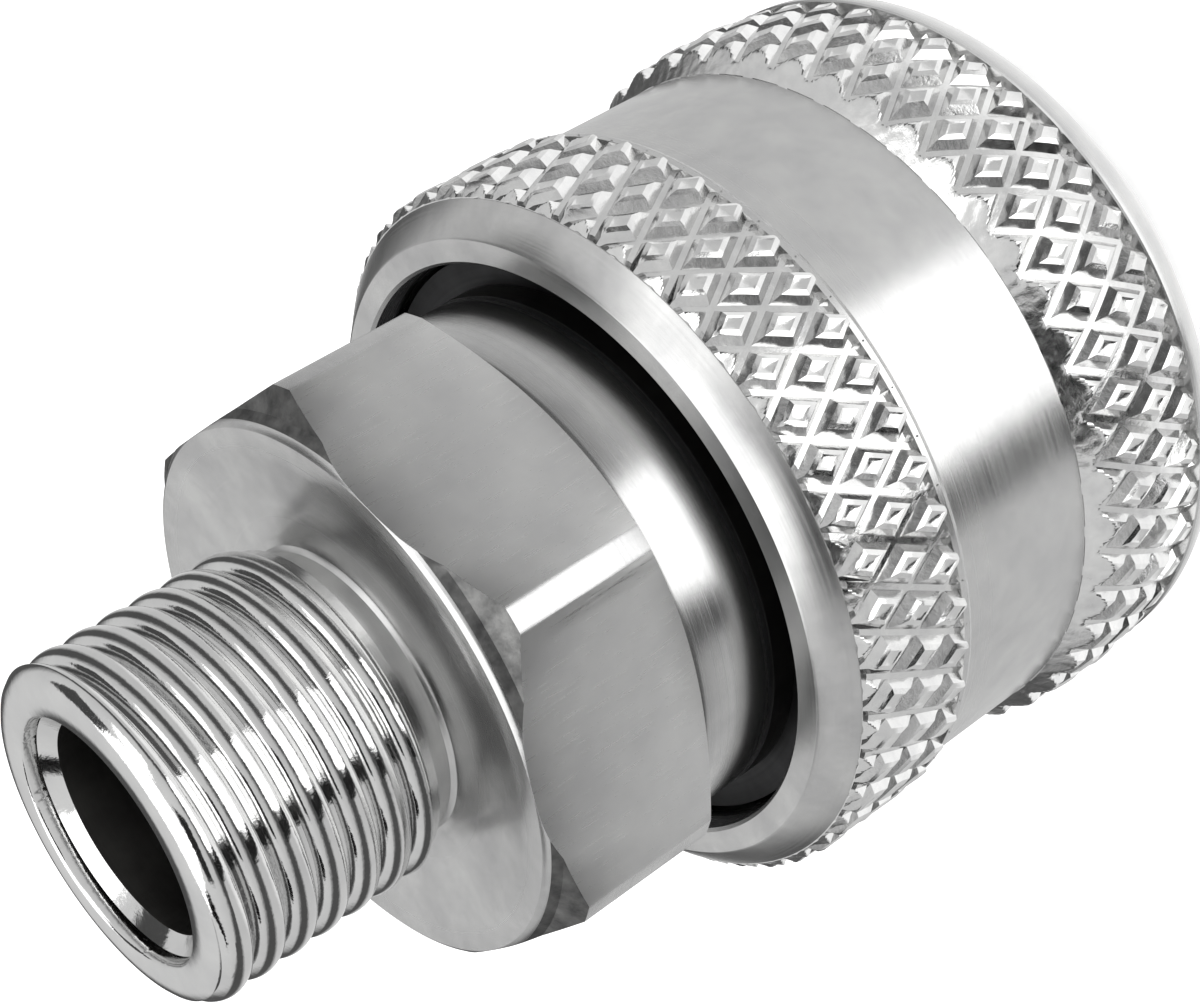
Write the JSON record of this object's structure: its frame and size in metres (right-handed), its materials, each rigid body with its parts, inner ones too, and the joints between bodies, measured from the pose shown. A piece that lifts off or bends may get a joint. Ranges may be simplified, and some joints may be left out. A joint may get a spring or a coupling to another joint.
{
  "type": "liquid cooling quick coupling",
  "caption": "Nickel-plated quick coupling socket with a knurled release sleeve, hexagon and male pipe thread, for a liquid cooling line.",
  "frame": {"origin": "centre of the mouth face, which the part stands on", "axes": "+Z from the mouth face to the threaded tip, along the common axis of every turned piece; a hexagon corner points along +Y"},
  "size_m": [0.0298, 0.0298, 0.0444],
  "materials": {
    "nickel_brass": "nickel plated, turned and milled, satin to bright",
    "ball_steel": "polished stainless steel",
    "spring_steel": "drawn stainless wire and strip",
    "washer_steel": "plain stainless steel",
    "seal_rubber": "smooth black EPDM",
    "backup_plastic": "plain PTFE"
  },
  "bodies": {
    "body": {"adapter": "nickel_brass", "socket_body": "nickel_brass", "valve_stem": "nickel_brass", "stem_seal": "seal_rubber", "plug_seal": "seal_rubber", "backup_ring": "backup_plastic", "joint_seal": "seal_rubber", "spring_washer": "washer_steel", "snap_ring": "spring_steel", "stop_ring": "spring_steel"},
    "release_sleeve": {"release_sleeve": "nickel_brass", "sleeve_spring": "spring_steel"},
    "valve_sleeve": {"valve_sleeve": "nickel_brass", "valve_spring": "spring_steel"},
    "ball_1": {"ball_1": "ball_steel"},
    "ball_2": {"ball_2": "ball_steel"},
    "ball_3": {"ball_3": "ball_steel"},
    "ball_4": {"ball_4": "ball_steel"},
    "ball_5": {"ball_5": "ball_steel"},
    "ball_6": {"ball_6": "ball_steel"},
    "ball_7": {"ball_7": "ball_steel"},
    "ball_8": {"ball_8": "ball_steel"}
  },
  "joints": [
    {"name": "sleeve_slide", "type": "slide", "parent": "body", "child": "release_sleeve", "axis": [0, 0, 1], "range_m": [0, 0.0028], "stiffness_N_per_m": 2200, "springref_m": -0.004, "deforming": ["sleeve_spring"]},
    {"name": "valve_slide", "type": "slide", "parent": "body", "child": "valve_sleeve", "axis": [0, 0, 1], "range_m": [0, 0.0034], "stiffness_N_per_m": 1500, "springref_m": -0.003, "deforming": ["valve_spring"]},
    {"name": "ball_1_lift", "type": "slide", "parent": "body", "child": "ball_1", "axis": [1, 0, 0], "range_m": [0, 0.0007]},
    {"name": "ball_2_lift", "type": "slide", "parent": "body", "child": "ball_2", "axis": [0.7071, 0.7071, 0], "range_m": [0, 0.0007]},
    {"name": "ball_3_lift", "type": "slide", "parent": "body", "child": "ball_3", "axis": [0, 1, 0], "range_m": [0, 0.0007]},
    {"name": "ball_4_lift", "type": "slide", "parent": "body", "child": "ball_4", "axis": [-0.7071, 0.7071, 0], "range_m": [0, 0.0007]},
    {"name": "ball_5_lift", "type": "slide", "parent": "body", "child": "ball_5", "axis": [-1, 0, 0], "range_m": [0, 0.0007]},
    {"name": "ball_6_lift", "type": "slide", "parent": "body", "child": "ball_6", "axis": [-0.7071, -0.7071, 0], "range_m": [0, 0.0007]},
    {"name": "ball_7_lift", "type": "slide", "parent": "body", "child": "ball_7", "axis": [0, -1, 0], "range_m": [0, 0.0007]},
    {"name": "ball_8_lift", "type": "slide", "parent": "body", "child": "ball_8", "axis": [0.7071, -0.7071, 0], "range_m": [0, 0.0007]}
  ],
  "couplings": [
    {"joint": "ball_1_lift", "follows": "sleeve_slide", "ratio": 0.25},
    {"joint": "ball_2_lift", "follows": "sleeve_slide", "ratio": 0.25},
    {"joint": "ball_3_lift", "follows": "sleeve_slide", "ratio": 0.25},
    {"joint": "ball_4_lift", "follows": "sleeve_slide", "ratio": 0.25},
    {"joint": "ball_5_lift", "follows": "sleeve_slide", "ratio": 0.25},
    {"joint": "ball_6_lift", "follows": "sleeve_slide", "ratio": 0.25},
    {"joint": "ball_7_lift", "follows": "sleeve_slide", "ratio": 0.25},
    {"joint": "ball_8_lift", "follows": "sleeve_slide", "ratio": 0.25}
  ]
}
